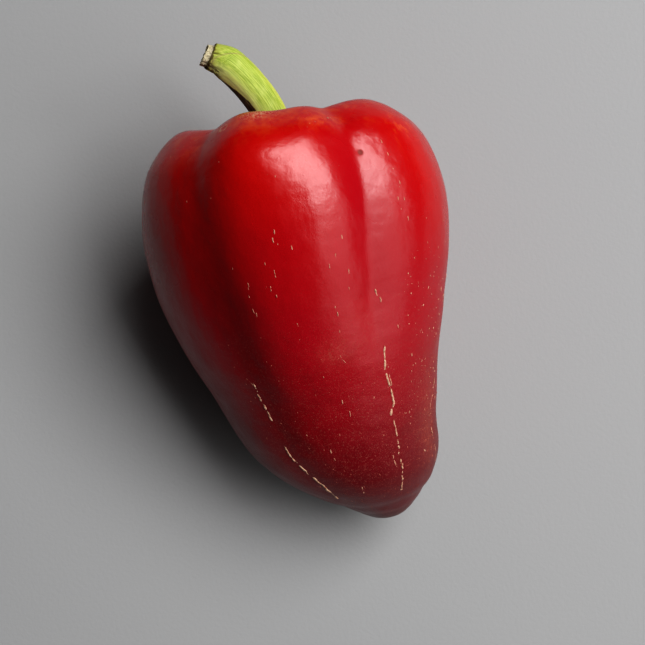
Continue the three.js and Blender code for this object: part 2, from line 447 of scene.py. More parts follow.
def lay_down(piece, sizes):
    """From the fruit's own frame in millimetres to the row's frame in metres."""
    turned = Matrix.Rotation(sizes.tilt, 4, "X") @ Matrix.Scale(MM, 4)
    piece.data.transform(Matrix.Translation(sizes.place) @ turned)
    piece.data.update()


def settle(piece, slot, *nodes):
    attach(piece, "root")
    if nodes:
        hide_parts(*nodes)


def piece_tree(name, *inputs, fineness=()):
    """Tree of a piece, with its host and material as inputs and, for a closed skin, its fineness."""
    counts = zip(("Columns", "Rows"), ("Int", "Int"), fineness)
    return GeometryTree(name, [("Geometry", "Geometry"), *counts, *inputs, ("Material", "Material")])


# ---- Fruit ----

def fruit_tree(skin):
    tree = piece_tree("Fruit", fineness=(256, 340))
    given = tree.given
    ball, angle, progress = tree.ball()

    def eased(even):
        return (even + (1 - tree.maths("COSINE", even * pi)) / 2) / 2

    outer = tree.maths("MINIMUM", progress / OUTER_ROWS, 1)
    inner = tree.maths("MAXIMUM", (progress - OUTER_ROWS) / (1 - OUTER_ROWS), 0)
    share = eased(outer) * CREST_SHARE + eased(inner) * (1 - CREST_SHARE)

    skin_here = tree.group(skin, Outline=given["Geometry"], Angle=angle, Share=share)
    kept = tree.keep(ball, skin=skin_here["Smooth Point"], share=share)
    return tree.finished(tree.moved(kept, skin_here["Point"]))


# ---- Calyx ----

def calyx_tree(standing):
    tree = piece_tree("Calyx", ("Reach", "Float"), ("Tooth", "Float", CALYX_TOOTH), ("Teeth", "Int"),
                      fineness=(200, 120))
    given = tree.given
    ball, angle, progress = tree.ball()
    circle = tree.vector(*tree.directions(angle), 0)

    on_top = tree.maths("GREATER_THAN", progress, 0.5)
    share = 1 - tree.maths("ABSOLUTE", progress * 2 - 1)
    bays = tree.maths("ABSOLUTE", tree.maths("SINE", given["Teeth"] * angle / 2))
    edge = given["Reach"] + given["Tooth"] * (1 - bays) + tree.swing(circle, 2.2, 2) * 0.7
    reach = share * edge

    rounded = tree.maths("SQRT", tree.maths("MAXIMUM", 1 - share**10, 0))
    thickness = tree.smooth(share, CALYX_FLAT, 1, CALYX_THICK, CALYX_EDGE) * rounded
    midrib = tree.smooth(bays, 0, 0.3, 1, 0) * tree.smooth(share, 0.35, 0.6)
    veins = tree.maths("PINGPONG", (angle + tree.swing(circle * share, 2, 2) * 0.07) * (20 / pi), 1)
    veins = tree.smooth(veins, 0.45, 1) * tree.smooth(share, 0.4, 0.7)
    collar = tree.smooth(reach, 4.6, 6.4) * tree.smooth(reach, 6.6, 8.6, 1, 0)
    fade = tree.smooth(share, 0.8, 1, 1, 0)
    relief = (midrib * 0.55 + veins * 0.22 + collar * 0.5) * fade
    relief = relief + tree.swing(circle * reach, 0.35, 3) * 0.16 * rounded
    curl = tree.smooth(share, 0.75, 1) * (0.35 + tree.swing(circle, 3.1, 1) * 0.4)
    upper = on_top * tree.maths("MAXIMUM", thickness + relief, 0.05)
    under = (1 - on_top) * (1 - rounded) * 0.3
    height = CLEARANCE * 0.6 + curl + upper + under

    place = tree.group(standing, Outline=given["Geometry"], Angle=angle, Share=1 - reach / SKIN_LENGTH,
                       Height=height)
    rib = tree.maths("MAXIMUM", midrib, veins * 0.6)
    kept = tree.keep(ball, share=share, rib=rib, flat=circle * reach)
    return tree.finished(tree.moved(kept, place["Point"]))


# ---- Stem ----

def stem_frame(tree, standing, host):
    """The stem's middle line: its length, and a function for its point, its direction and the two
    directions across it, at a distance from its foot."""
    outline, line = tree.first_apart(host)
    line = tree.curved(line)
    foot = tree.group(standing, Outline=outline, Angle=0, Share=1, Height=FOOT_HEIGHT)["Point"]
    length = tree.node("GeometryNodeCurveLength", None, {0: line})

    def at(distance):
        sample = tree.on_curve(line, distance / length)
        along = sample["Tangent"]
        across = tree.maths("NORMALIZE", tree.maths("CROSS_PRODUCT", along, (0, 0, 1)))
        return sample["Position"] + foot, along, across, tree.maths("CROSS_PRODUCT", across, along)

    return at, length


def stalk_tree(standing):
    tree = piece_tree("Stalk", ("Ribs", "Int"), ("Rib Depth", "Float"), fineness=(120, 260))
    given = tree.given
    ball, angle, progress = tree.ball()
    at, length = stem_frame(tree, standing, given["Geometry"])
    side, up = tree.directions(angle)
    circle = tree.vector(side, up, 0)

    foot_rows, end_rows = 0.05, 0.07
    foot = tree.maths("MINIMUM", progress / foot_rows, 1)
    end = tree.maths("MAXIMUM", (progress - 1 + end_rows) / end_rows, 0)
    distance = tree.clamp((progress - foot_rows) / (1 - foot_rows - end_rows)) * length

    flare = tree.smooth(distance, 0, STEM_FLARE, STEM_FOOT - STEM_WAIST, 0)
    to_end = length - distance
    wide = STEM_WAIST + flare + tree.smooth(to_end, STEM_CAP, 0, 0, STEM_END - STEM_WAIST)
    ribs = tree.maths("ABSOLUTE", tree.maths("COSINE", given["Ribs"] * angle / 2 + distance * 0.012))
    ribs = (ribs - 0.64) * given["Rib Depth"] * 2
    fibres = tree.swing(tree.vector(side * 4, up * 4, distance * 0.07), 1.6, 3, 0.65) * 0.018
    swell = tree.swing(tree.vector(side, up, distance * 0.16), 0.9, 2) * 0.035
    crease_at = to_end - 1.1 - side * 2.3 - side * side * 3.4 + tree.swing(circle, 1.3, 2) * 0.4
    crease = tree.maths("EXPONENT", -((crease_at / 0.24) ** 2)) * tree.smooth(up, -0.6, 0.1)
    lip = tree.smooth(to_end, 0, 3.2, 0.035, 0) - tree.smooth(to_end, 0, 0.5, 0.05, 0)
    crack = 0
    for middle, reach, width in STEM_CRACKS:
        wander = tree.swing(tree.vector(distance * 0.5, middle, 0), 1, 2) * 0.12
        turned = angle - radians(middle) + wander
        off = tree.maths("ABSOLUTE", tree.maths("SINE", turned / 2)) * 2 / radians(width)
        fade = tree.smooth(to_end, reach * 0.3, reach, 1, 0)
        crack = tree.maths("EXPONENT", -(off ** 2)) * fade + crack
    crack = tree.maths("MINIMUM", crack, 1)
    radius = wide * (1 + ribs + fibres + swell - crease * 0.018 + lip - crack * 0.12)

    jagged = tree.swing(circle, 2.4, 3) * 0.5 * tree.smooth(to_end, 0, 1.5, 1, 0)
    middle, along, across, upwards = at(distance)
    shrink = foot * tree.smooth(end, 0, 1, 1, 0)
    sunk = (foot - 1) * 1.1 - tree.smooth(end, 0.1, 0.7) * 0.8 - tree.smooth(distance, 0, 1.2, 0.5, 0)
    place = middle + across * (side * radius * shrink) + upwards * (up * radius * shrink)
    place = place + along * (sunk + jagged)
    grain = tree.vector(side * radius, up * radius, distance)
    crack = tree.maths("MAXIMUM", crack, tree.smooth(end, 0.05, 0.5))
    kept = tree.keep(ball, grain=grain, to_end=to_end, crack=crack, crease=crease)
    return tree.finished(tree.moved(kept, place))


def core_tree(standing):
    """The dry, torn core that stands out of the stem's cut end."""
    tree = piece_tree("Core", ("Radius", "Float", CORE_RADIUS), ("Length", "Float"), fineness=(110, 90))
    given = tree.given
    ball, angle, progress = tree.ball()
    at, length = stem_frame(tree, standing, given["Geometry"])
    side, up = tree.directions(angle)
    circle = tree.vector(side, up, 0)

    inner = tree.smooth(progress, 0, 0.12)
    wall = tree.clamp((progress - 0.12) / 0.48)
    face = tree.clamp((progress - 0.6) / 0.4)
    ragged = tree.swing(circle, 1.7, 4, 0.65)
    top = given["Length"] + ragged * 0.75
    spread = tree.maths("COSINE", face * (pi / 2))
    uneven = 1 + tree.swing(circle, 2.6, 3, 0.6) * 0.13 - wall * 0.08
    radius = given["Radius"] * inner * spread * uneven
    out = wall * top - 0.8 + tree.swing(circle * (spread * 2.5), 1.1, 4, 0.7) * face * 0.9 - face * 0.35
    middle, along, across, upwards = at(length)
    lean = across * -0.45 + upwards * -0.1
    place = middle + (across * side + upwards * up) * radius + along * out + lean * wall
    kept = tree.keep(ball, grain=tree.vector(side * radius, up * radius, out))
    return tree.finished(tree.moved(kept, place))


# ---- Marks on the skin ----

def cork_tree(standing):
    """Corky cracks and scabs: each line runs over the skin, breaks up, and is rough along its edges."""
    tree = piece_tree("Cork", ("Width", "Float"), ("Proud", "Float", 0.13), ("Breaks", "Float", 0.38),
                      ("Seed", "Float", 3.0))
    given = tree.given
    outline, lines = tree.first_apart(given["Geometry"])

    # The lines are drawn flat, as an angle in degrees, hundredths of the outline's length and a width,
    # and are then laid on the skin.
    turn, share, width = tree.parts(tree.node("GeometryNodeInputPosition"))
    lines = tree.keep(lines, width=width)
    laid = tree.group(standing, Outline=outline, Angle=turn * (pi / 180), Share=share / 100, Height=0)
    lines = tree.keep(lines, out=laid["Out"])
    lines = tree.moved(lines, laid["Point"])
    lines = tree.node("GeometryNodeResampleCurve", {"mode": "LENGTH"}, {"Curve": lines, "Length": 0.16})
    here = tree.node("GeometryNodeInputPosition")
    out, width = tree.recall("out", "FLOAT_VECTOR"), tree.recall("width")
    seeded = here + tree.vector(given["Seed"], 0, 0)
    lines = tree.moved(lines, here + tree.shake(seeded, 0.55, 3) * (0.4 + width * 0.7))
    thick = tree.noise(seeded, 0.75, 3, 0.65)
    along = tree.node("GeometryNodeSplineParameter")["Factor"]
    taper = tree.smooth(along, 0, 0.15) * tree.smooth(along, 0.85, 1, 1, 0)
    broken = tree.smooth(tree.noise(seeded + 31.7, 0.42, 2), given["Breaks"], given["Breaks"] - 0.06)
    girth = width * given["Width"] * (0.35 + thick * 1.3) * (0.35 + 0.65 * taper) * (1 - broken * 0.6)
    lines = tree.node("GeometryNodeSetCurveNormal", {"mode": "FREE"}, {"Curve": lines, "Normal": out})
    lines = tree.keep(lines, girth=girth)
    sunk = out * (broken * -0.08 - 0.03)
    lines = tree.moved(lines, tree.node("GeometryNodeInputPosition") + sunk)
    ring = tree.node("GeometryNodeCurvePrimitiveCircle", None, {"Resolution": 10, "Radius": 1})
    ring = tree.node("GeometryNodeTransform", None, {
        "Geometry": ring, "Scale": tree.vector(given["Proud"] * 2, 0.5, 1)})
    mesh = tree.node("GeometryNodeCurveToMesh", None, {
        "Curve": lines, "Profile Curve": ring, "Scale": tree.recall("girth"), "Fill Caps": True})
    there = tree.node("GeometryNodeInputPosition")
    return tree.finished(tree.moved(mesh, there + tree.shake(there, 2.4, 2) * 0.12))


def specks_tree(tilt):
    """Small corky grains, strung out in rows down the fruit."""
    tree = piece_tree("Specks", ("Density", "Float"), ("Size", "Float"), ("Seed", "Int", 4))
    given = tree.given
    skin, share = tree.recall("skin", "FLOAT_VECTOR"), tree.recall("share")
    across, along, up = tree.parts(skin)
    turn = tree.maths("ARCTAN2", across, up)
    sideways, upwards = tree.directions(turn)
    rows = tree.vector(sideways * 9, upwards * 9, along * 0.03)
    strung = tree.smooth(tree.noise(rows, 0.9, 2), 0.5, 0.66)
    clustered = tree.smooth(tree.noise(skin, 0.06, 2), 0.42, 0.6)
    flank = tree.smooth(turn, 0.5, 0.8) * tree.smooth(turn, 1.9, 1.3) * tree.smooth(share, 0.58, 0.48)
    flank = flank * tree.smooth(share, 0.22, 0.34)
    low = tree.smooth(share, 0.5, 0.2) + flank
    calm = tree.smooth(turn, -0.9, -0.3, 0.25, 1)
    density = (strung * clustered * 0.3 + low * 0.8 + 0.03) * calm * given["Density"]
    density = density * tree.smooth(share, 0.84, 0.74)
    scatter = tree.node("GeometryNodeDistributePointsOnFaces", {"distribute_method": "RANDOM"}, {
        "Mesh": given["Geometry"], "Density": density, "Seed": given["Seed"]})
    points = tree.keep(scatter, width=flank * 0.4)
    turned = tree.node("FunctionNodeAlignRotationToVector", {"axis": "Z"}, {
        "Vector": scatter["Normal"]})
    lengthwise = tree.vector(-0.12, cos(tilt), sin(tilt))
    turned = tree.node("FunctionNodeAlignRotationToVector", {"axis": "Y", "pivot_axis": "Z"}, {
        "Rotation": turned, "Vector": lengthwise})

    def chance(low, high, seed):
        return tree.node("FunctionNodeRandomValue", {"data_type": "FLOAT"}, {
            2: low, 3: high, 8: seed}, 1)

    small = chance(0, 1, 11)
    stretch = 1 + chance(0, 1, 12) ** 3 * 3.2
    size = (0.45 + small ** 3 * 1.1) * given["Size"] * (1 + flank * 0.8)
    grain = tree.node("GeometryNodeMeshUVSphere", None, {"Segments": 6, "Rings": 4, "Radius": 1})
    grains = tree.node("GeometryNodeInstanceOnPoints", None, {
        "Points": points, "Instance": grain, "Rotation": turned,
        "Scale": tree.vector(size, size * stretch, size * 0.4)})
    return tree.finished(grains)


def blossom_tree(standing):
    """The dry scar that the flower leaves at the blossom end."""
    tree = piece_tree("Blossom scar", ("Reach", "Float"), fineness=(90, 60))
    given = tree.given
    ball, angle, progress = tree.ball()
    circle = tree.vector(*tree.directions(angle), 0)
    on_top = 1 - tree.maths("GREATER_THAN", progress, 0.5)
    share = 1 - tree.maths("ABSOLUTE", progress * 2 - 1)
    reach = share * given["Reach"] * (1 + tree.swing(circle, 1.8, 3) * 0.22)
    wrinkle = tree.swing(circle * 2.2 + tree.vector(0, 0, share), 1.4, 3, 0.6)
    rounded = tree.maths("SQRT", tree.maths("MAXIMUM", 1 - share**6, 0))
    style = tree.smooth(share, 0.05, 0.3, 0.55, 0)
    height = on_top * rounded * (0.16 + wrinkle * 0.1 * tree.smooth(share, 0.1, 0.5) + style) - 0.06
    place = tree.group(standing, Outline=given["Geometry"], Angle=angle, Share=reach / SKIN_LENGTH,
                       Height=height)
    kept = tree.keep(ball, share=share, flat=circle * reach)
    return tree.finished(tree.moved(kept, place["Point"]))


# ---- Materials ----

class Material(Nodes):
    """A material under construction, with its main shader."""

    def __init__(self, name, **constants):
        made = bpy.data.materials.new(name)
        made.use_nodes = True
        super().__init__(made.node_tree)
        self.made = made
        self.shader = made.node_tree.nodes["Principled BSDF"]
        for socket, value in constants.items():
            self.shader.inputs[socket.replace("_", " ")].default_value = value

    def base(self, low, high, factor):
        """First colour of the surface, from low to high with the factor."""
        self.colour = self.blend(factor, low, high)

    def over(self, factor, colour):
        """Lays a colour over what is there, as far as the factor says."""
        self.colour = self.blend(factor, self.colour, colour)

    def finished(self, rough, height):
        """Roughness, and relief from a height in millimetres."""
        relief = self.node("ShaderNodeBump", None, {"Height": height, "Strength": 1, "Distance": MM})
        for name, value in (("Base Color", self.colour), ("Roughness", rough), ("Normal", relief)):
            self.tree.links.new(value.output, self.shader.inputs[name])
        return self.made

    def recall(self, name, output="Fac"):
        """A value that was stored on every point."""
        return self.node("ShaderNodeAttribute", {"attribute_name": name})[output]


def skin_material(colours):
    """Waxy red skin: wine at the tip, crimson in the middle, scarlet at the shoulders."""
    paint = Material("Pepper skin", Specular_IOR_Level=0.54)
    place = paint.recall("skin", "Vector")
    share = paint.recall("share")
    across, along, up = paint.parts(place)
    turn = paint.maths("ARCTAN2", across, up) * (180 / pi)
    cloud = paint.swing(place, 0.05, 3)
    blotch = paint.swing(place, 0.15, 2)
    mottle = paint.swing(place, 0.33, 3, 0.6)
    peel = paint.noise(place, 1.3, 3, 0.6)
    banded = paint.swing(paint.vector(across * 0.04, along * 0.13, up * 0.04), 1, 2)

    def patch(middle, width, level, length, lean=0):
        """From 1 in the middle of a patch to 0 beyond it: its angle and width in degrees, its share of
        the outline's length, its length as a share, and how far it leans."""
        off = (turn - middle - (share - level) * lean) / width
        return paint.maths("EXPONENT", -(off ** 2) - ((share - level) / length) ** 2)

    def ring(middle, level, radius):
        """An uneven thin ring of a radius in millimetres around a place near the shoulder, where the
        skin is 0.58 mm to a degree."""
        sideways, lengthways = (turn - middle) * 0.58, (share - level) * SKIN_LENGTH
        out = paint.maths("SQRT", sideways ** 2 + lengthways ** 2) + (peel - 0.5) * 1.1
        return paint.maths("EXPONENT", -(((out - radius) / 0.26) ** 2))

    ripe = share + cloud * 0.06 + mottle * 0.02
    paint.base(colours.wine, colours.crimson, paint.smooth(ripe, 0.14, 0.48))
    paint.over(paint.smooth(ripe, 0.44, 0.7), colours.scarlet)
    paint.over(patch(25, 17, 0.6, 0.17) * 0.75, colours.crimson)
    # Painted light: the wine skin low on the left is lightened towards crimson, where the light falls
    # off.
    paint.over(patch(-40, 16, 0.24, 0.1) * 0.35, colours.crimson)
    # Painted shade: darker skin along the left furrow, on the left flank and in a small groove at the
    # rim, where shade falls; the last term adds random darker blotches low on the fruit.
    painted_shade_and_blotches = patch(-32, 10, 0.48, 0.2, -28) * 0.62 + patch(-62, 12, 0.6, 0.07) * 0.3
    painted_shade_and_blotches = painted_shade_and_blotches + patch(-37, 4, 0.745, 0.03) * 0.12
    painted_shade_and_blotches = painted_shade_and_blotches + paint.smooth(cloud + mottle * 0.4, 0.1, 0.6) * paint.smooth(share, 0.6, 0.3) * 0.3
    paint.over(painted_shade_and_blotches, colours.painted_shade_and_blotches)

    crackle = paint.smooth(paint.noise(place, 0.9, 4, 0.75), 0.5, 0.66)
    grit = paint.smooth(paint.noise(place, 2.8, 2, 0.7), 0.56, 0.68)
    # Corky crackle and grit; the patch low on the right flank, a paler band along a ridge, is partly
    # crackle and partly painted sheen where that ridge catches light.
    dust_and_painted_sheen = patch(57, 10, 0.25, 0.1) + patch(15, 12, 0.46, 0.05) * 0.2
    dust_and_painted_sheen = dust_and_painted_sheen + patch(22, 6, 0.775, 0.02) * 0.6 + patch(4, 7, 0.43, 0.02) * 0.5
    worked = paint.smooth(share + cloud * 0.1, 0.62, 0.25)
    dust_and_painted_sheen = dust_and_painted_sheen * (0.35 + crackle * 0.65) + (grit * 0.7 + crackle * 0.12) * worked
    paint.over(dust_and_painted_sheen * 0.6, colours.crackle_and_painted_sheen)
    cloudy = paint.smooth(paint.noise(place, 0.22, 4, 0.65), 0.48, 0.62)
    blush = paint.smooth(share, 0.69, 0.76) * cloudy
    streaky = paint.noise(paint.vector(across, along * 0.3, up), 0.8, 3, 0.6)
    rim = patch(-8, 13, 0.772, 0.028) * paint.smooth(streaky + crackle * 0.15, 0.36, 0.66)
    blush = blush * 0.4 + rim * 0.75
    blush = blush + patch(17, 10, 0.74, 0.02) * paint.smooth(streaky, 0.4, 0.6) * 0.5
    blush = blush + patch(52, 6, 0.7, 0.03) * paint.smooth(streaky, 0.5, 0.62) * 0.6
    paint.over(blush, colours.blush)
    flaked = paint.smooth(paint.noise(place, 1.7, 3, 0.7), 0.47, 0.58)
    worn = patch(-9, 5.5, 0.777, 0.013) * flaked * 1.3 + patch(-43, 3, 0.775, 0.02) * crackle * 0.5
    worn = worn + ring(-24.5, 0.758, 1.1) * paint.smooth(paint.noise(place, 1.1, 3, 0.7), 0.4, 0.56)
    paint.over(paint.maths("MINIMUM", worn, 1) * 0.85, colours.worn)
    paint.over(paint.smooth(share + mottle * 0.02, 0.085, 0.02) * 0.8, colours.tip)
    pit = patch(29.5, 0.95, 0.671, 0.004)
    paint.over(paint.smooth(pit, 0.05, 0.6) * 0.9, colours.pit)

    rough = 0.265 + paint.smooth(share, 0.62, 0.38, 0, 0.12) + blotch * 0.1 + (dust_and_painted_sheen + worn) * 0.25
    rough = rough + paint.smooth(pit, 0, 0.5) * 0.5
    height = mottle * 0.045 + blotch * 0.11 + banded * 0.17 + peel * 0.02
    height = height + (dust_and_painted_sheen + worn) * 0.03 - pit * 0.2
    return paint.finished(rough, height)


def cork_material(colours):
    """Dry, crumbly cork, redder where a mark is thin."""
    paint = Material("Cork", Specular_IOR_Level=0.25)
    place = paint.node("ShaderNodeTexCoord")["Object"]
    crumbs = paint.noise(place, 1500, 3, 0.7)
    width = paint.recall("width")
    thin = paint.smooth(width, 0.55, 0.2) * 0.45 + paint.smooth(width, 0.1, 0) * 0.45
    paint.base(colours.cork_hollow, colours.cork, paint.smooth(crumbs, 0.36, 0.56))
    paint.over(thin, colours.cork_thin)
    rough, height = 0.7 + crumbs * 0.3, crumbs * 0.12
    return paint.finished(rough, height)


def stem_material(colours):
    """Fibrous green stem: yellower on its right side, with painted light on its shaded left side, a
    dark strip along its lower left that is partly dry skin and partly painted shade, and torn at its
    end.
    """
    paint = Material("Stem green", Specular_IOR_Level=0.35, Subsurface_Weight=0.4,
                     Subsurface_Radius=(1, 1, 0.4), Subsurface_Scale=0.9 * MM)
    grain = paint.recall("grain", "Vector")
    to_end = paint.recall("to_end")
    side, up, distance = paint.parts(grain)
    turn = paint.maths("ARCTAN2", side, up) * (180 / pi)
    broad = paint.swing(grain, 0.25, 3)
    fibres = paint.noise(paint.vector(side, up, distance * 0.045), 2.2, 4, 0.7)
    hairs = paint.noise(paint.vector(side, up, distance * 0.05), 6, 2, 0.6)
    lines = fibres * 0.5 + hairs * 0.5

    paint.base(colours.stem_groove, colours.stem, paint.smooth(lines, 0.4, 0.6))
    paint.over(paint.smooth(broad + lines, 0.5, 1.1) * 0.5, colours.stem_pale)
    # Painted light: the side turned away from the lamps is painted paler, standing in for light from
    # that side.
    paint.over(paint.smooth(turn, 5, -45) * (0.6 + lines * 0.5), colours.stem_painted_light)
    # Yellower on the right side of the stem.
    yellow_side = paint.smooth(turn, 45, 85) * paint.smooth(turn, 130, 100) * paint.smooth(to_end, 2, 14)
    paint.over(yellow_side * 0.7, colours.stem_yellow)
    # A dark strip along the lower left side, partly dry skin and partly painted shade: dark with paler
    # dry fibres near its edge, fading to those fibres on its far side.
    edge = paint.smooth(to_end, 16, 4, -39, -74) + paint.swing(grain, 0.5, 3) * 5 + (fibres - 0.5) * 8
    side_edge = paint.smooth(turn - edge + (hairs - 0.5) * 8, 3, -2) * paint.smooth(to_end, 2, 6)
    ragged = turn + (fibres - 0.5) * 60 + (hairs - 0.5) * 30
    strip_far_side = side_edge * paint.smooth(ragged, -165, -118)
    dry = side_edge * paint.smooth(ragged, -128, -104)
    flecks = paint.smooth(hairs + fibres * 0.5, 0.72, 0.9)
    flecked = paint.blend(flecks, colours.stem_dry_and_painted_shade, colours.stem_fleck)
    paint.over(strip_far_side * 0.6, colours.stem_fleck)
    paint.over(dry, flecked)
    old = paint.smooth(to_end + paint.swing(grain, 0.7, 3) * 2.5, 3.4, 0.2)
    paint.over(old * 0.55, colours.stem_old)
    # Dark torn fibres near the end, only on the shaded lower left side, partly painted shade; then the
    # dark cut edge.
    torn = paint.smooth(paint.noise(paint.vector(side, up, distance * 0.4), 1.2, 4, 0.7), 0.44, 0.54)
    shaded = paint.smooth(turn, -20, -50) * paint.smooth(turn, -160, -130)
    torn = torn * shaded * paint.smooth(to_end, 6, 2)
    torn = torn + paint.smooth(to_end + paint.swing(grain, 1.3, 3) * 0.8, 0.7, 0.2)
    crack = paint.maths("MAXIMUM", paint.recall("crack"), torn)
    paint.over(crack * 0.85, colours.stem_crack)
    crease = paint.recall("crease")
    paint.over(crease * 0.6, colours.stem_crease)
    rough = 0.5 + lines * 0.2 + crack * 0.2
    height = lines * 0.09 + paint.swing(grain, 0.9, 3) * 0.03 - crack * 0.1
    return paint.finished(rough, height)


def core_material(colours):
    """Pale, pitted pith, with painted shade darkening its hollows."""
    paint = Material("Dry core", Specular_IOR_Level=0.2)
    grain = paint.recall("grain", "Vector")
    pits = paint.noise(grain, 1.1, 4, 0.7)
    threads = paint.noise(grain * paint.vector(1, 1, 0.25), 2.6, 3, 0.6)
    paint.base(colours.core_shade, colours.core, paint.smooth(threads, 0.35, 0.6))
    # Painted shade: the hollows of the pith are painted dark brown.
    paint.over(paint.smooth(pits, 0.44, 0.34), colours.core_painted_shade)
    rough, height = 0.75 + threads * 0.2, pits * 0.5 + threads * 0.15
    return paint.finished(rough, height)


def calyx_material(colours):
    """Leathery green with paler ribs, dry along its edge."""
    paint = Material("Calyx green", Specular_IOR_Level=0.35)
    flat = paint.recall("flat", "Vector")
    rib, share = paint.recall("rib"), paint.recall("share")
    blotch = paint.noise(flat, 0.35, 3, 0.6)
    grit = paint.noise(flat, 2.2, 3, 0.6)
    paint.base(colours.calyx_dark, colours.calyx, paint.smooth(blotch, 0.35, 0.65))
    paint.over(rib * 0.7, colours.calyx_rib)
    dry = paint.smooth(share + (blotch - 0.5) * 0.3, 0.84, 1)
    paint.over(dry * 0.8, colours.calyx_edge)
    rough, height = 0.45 + grit * 0.25 + dry * 0.2, grit * 0.06 + blotch * 0.08 + rib * 0.05
    return paint.finished(rough, height)


def scar_material(colours):
    """Dry brown scar, paler on its wrinkles."""
    paint = Material("Blossom scar", Specular_IOR_Level=0.2)
    flat = paint.recall("flat", "Vector")
    wrinkles = paint.noise(flat, 1.6, 4, 0.7)
    paint.base(colours.scar, colours.scar_pale, paint.smooth(wrinkles, 0.4, 0.62))
    paint.over(paint.smooth(paint.recall("share"), 0.6, 1) * 0.6, colours.tip)
    rough, height = 0.7 + wrinkles * 0.25, wrinkles * 0.3
    return paint.finished(rough, height)


def floor_material():
    """Plain pale board."""
    paint = Material("Pale floor", Specular_IOR_Level=0.2)
    place = paint.node("ShaderNodeTexCoord")["Object"]
    tone = paint.noise(place, 6, 3)
    grit = paint.noise(place, 900, 2)
    paint.base((0.335, 0.335, 0.34, 1), (0.36, 0.36, 0.36, 1), tone)
    return paint.finished(0.75 + tone * 0.15, grit * 0.05)


# ---- What a user would change ----

def colour_property(name, description, default):
    return FloatVectorProperty(
        name=name, description=description, default=(*default, 1), subtype="COLOR", size=4,
        min=0, max=1)


class PepperColours(bpy.types.PropertyGroup):
    scarlet: colour_property("Scarlet", "Skin at the shoulders", (0.43, 0.0018, 0.001))
    crimson: colour_property("Crimson", "Skin in the middle", (0.33, 0.001, 0.01))
    wine: colour_property("Wine", "Skin towards the tip", (0.125, 0.0015, 0.006))
    # Painted shade on the left furrow and flank, and the colour of random darker blotches low down.
    painted_shade_and_blotches: colour_property("Shade", "Dark skin in the shaded furrow", (0.06, 0.0005, 0.001))
    # Corky crackle, and partly painted sheen on a ridge low on the right flank.
    crackle_and_painted_sheen: colour_property("Dust", "Corky crackle on the skin", (0.36, 0.09, 0.055))
    blush: colour_property("Blush", "Orange tint on the shoulders", (0.55, 0.07, 0.012))
    worn: colour_property("Worn skin", "Pale scuffs on the rim", (0.62, 0.33, 0.2))
    pit: colour_property("Pit", "Sunken brown spot", (0.22, 0.045, 0.035))
    tip: colour_property("Tip", "Brownish skin at the very tip", (0.07, 0.01, 0.007))
    cork: colour_property("Cork", "Corky cracks", (0.56, 0.37, 0.26))
    cork_hollow: colour_property("Cork hollows", "Hollows in the cork", (0.34, 0.13, 0.085))
    cork_thin: colour_property("Thin cork", "Specks and hairline cracks", (0.44, 0.14, 0.1))
    stem: colour_property("Stem", "Fibres of the stem", (0.47, 0.53, 0.12))
    stem_groove: colour_property("Stem grooves", "Between the fibres", (0.25, 0.34, 0.035))
    stem_pale: colour_property("Pale stem", "Paler patches of the stem", (0.58, 0.62, 0.21))
    # Painted light on the stem's shaded side.
    stem_painted_light: colour_property("Stem flank", "Palest side, next to the dry strip", (0.9, 0.97, 0.4))
    # Yellower on the right side of the stem.
    stem_yellow: colour_property("Yellow stem", "Sunny side of the stem", (0.62, 0.62, 0.12))
    # Dark strip along the stem: partly dry skin, partly painted shade.
    stem_dry_and_painted_shade: colour_property("Dry stem", "Dry strip along the stem", (0.05, 0.03, 0.014))
    stem_fleck: colour_property("Dry fibres", "Paler fibres in the dry strip", (0.2, 0.14, 0.06))
    stem_old: colour_property("Old stem", "Stem near its cut end", (0.3, 0.27, 0.05))
    stem_crack: colour_property("Stem cracks", "Cracks and the cut edge", (0.07, 0.035, 0.015))
    stem_crease: colour_property("Stem crease", "Ring crease near the end", (0.3, 0.22, 0.11))
    core: colour_property("Core", "Pith of the cut end", (0.62, 0.56, 0.39))
    core_shade: colour_property("Core threads", "Darker threads of the pith", (0.42, 0.35, 0.22))
    # Painted shade in the hollows of the pith.
    core_painted_shade: colour_property("Core pits", "Hollows of the pith", (0.08, 0.05, 0.025))
    calyx: colour_property("Calyx", "Leathery green", (0.27, 0.37, 0.06))
    calyx_dark: colour_property("Dark calyx", "Darker green patches", (0.15, 0.24, 0.03))
    calyx_rib: colour_property("Calyx ribs", "Ribs and veins", (0.46, 0.52, 0.17))
    calyx_edge: colour_property("Calyx edge", "Dry edge", (0.4, 0.29, 0.11))
    scar: colour_property("Scar", "Blossom scar", (0.06, 0.025, 0.012))
    scar_pale: colour_property("Pale scar", "Wrinkles of the scar", (0.36, 0.22, 0.12))


def length_property(name, description, millimetres):
    return FloatProperty(
        name=name, description=description, default=millimetres * MM, unit="LENGTH", precision=4)


def share_property(name, description, default, low=0, high=1):
    return FloatProperty(name=name, description=description, default=default, min=low, max=high)


def count_property(name, description, default):
    return IntProperty(name=name, description=description, default=default, min=3, max=9)


